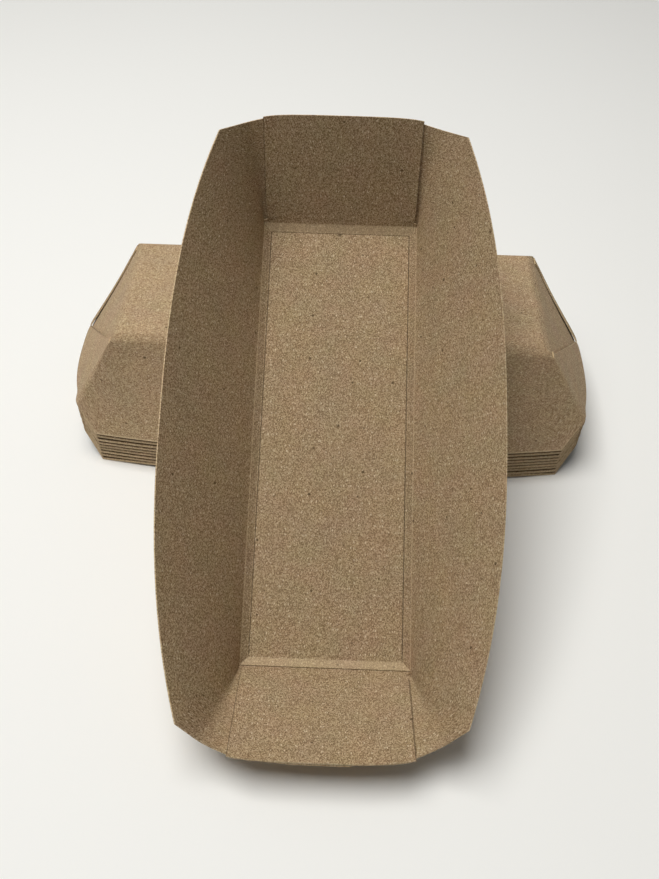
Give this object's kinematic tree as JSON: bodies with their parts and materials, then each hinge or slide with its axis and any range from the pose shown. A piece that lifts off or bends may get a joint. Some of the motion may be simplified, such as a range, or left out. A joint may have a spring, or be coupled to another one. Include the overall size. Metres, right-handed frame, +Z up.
{
  "type": "stack of cardboard trays",
  "caption": "Nested stack of long folded kraft board food trays lying upside down, with a like tray leaning across it, open side up.",
  "frame": {"origin": "middle of the whole group's box, on the surface that it stands on", "axes": "+X along the nested stack to the right, +Y to the back, +Z up; the leaning tray runs along Y with its low end to the front"},
  "size_m": [0.1754, 0.186, 0.0968],
  "materials": {
    "kraft_board": "matte uncoated kraft paperboard"
  },
  "bodies": {
    "root": {"nested_tray_1": "kraft_board", "nested_tray_2": "kraft_board", "nested_tray_3": "kraft_board", "nested_tray_4": "kraft_board", "nested_tray_5": "kraft_board", "nested_tray_6": "kraft_board", "nested_tray_7": "kraft_board", "nested_tray_8": "kraft_board", "nested_tray_9": "kraft_board", "leaning_tray": "kraft_board"}
  },
  "joints": []
}
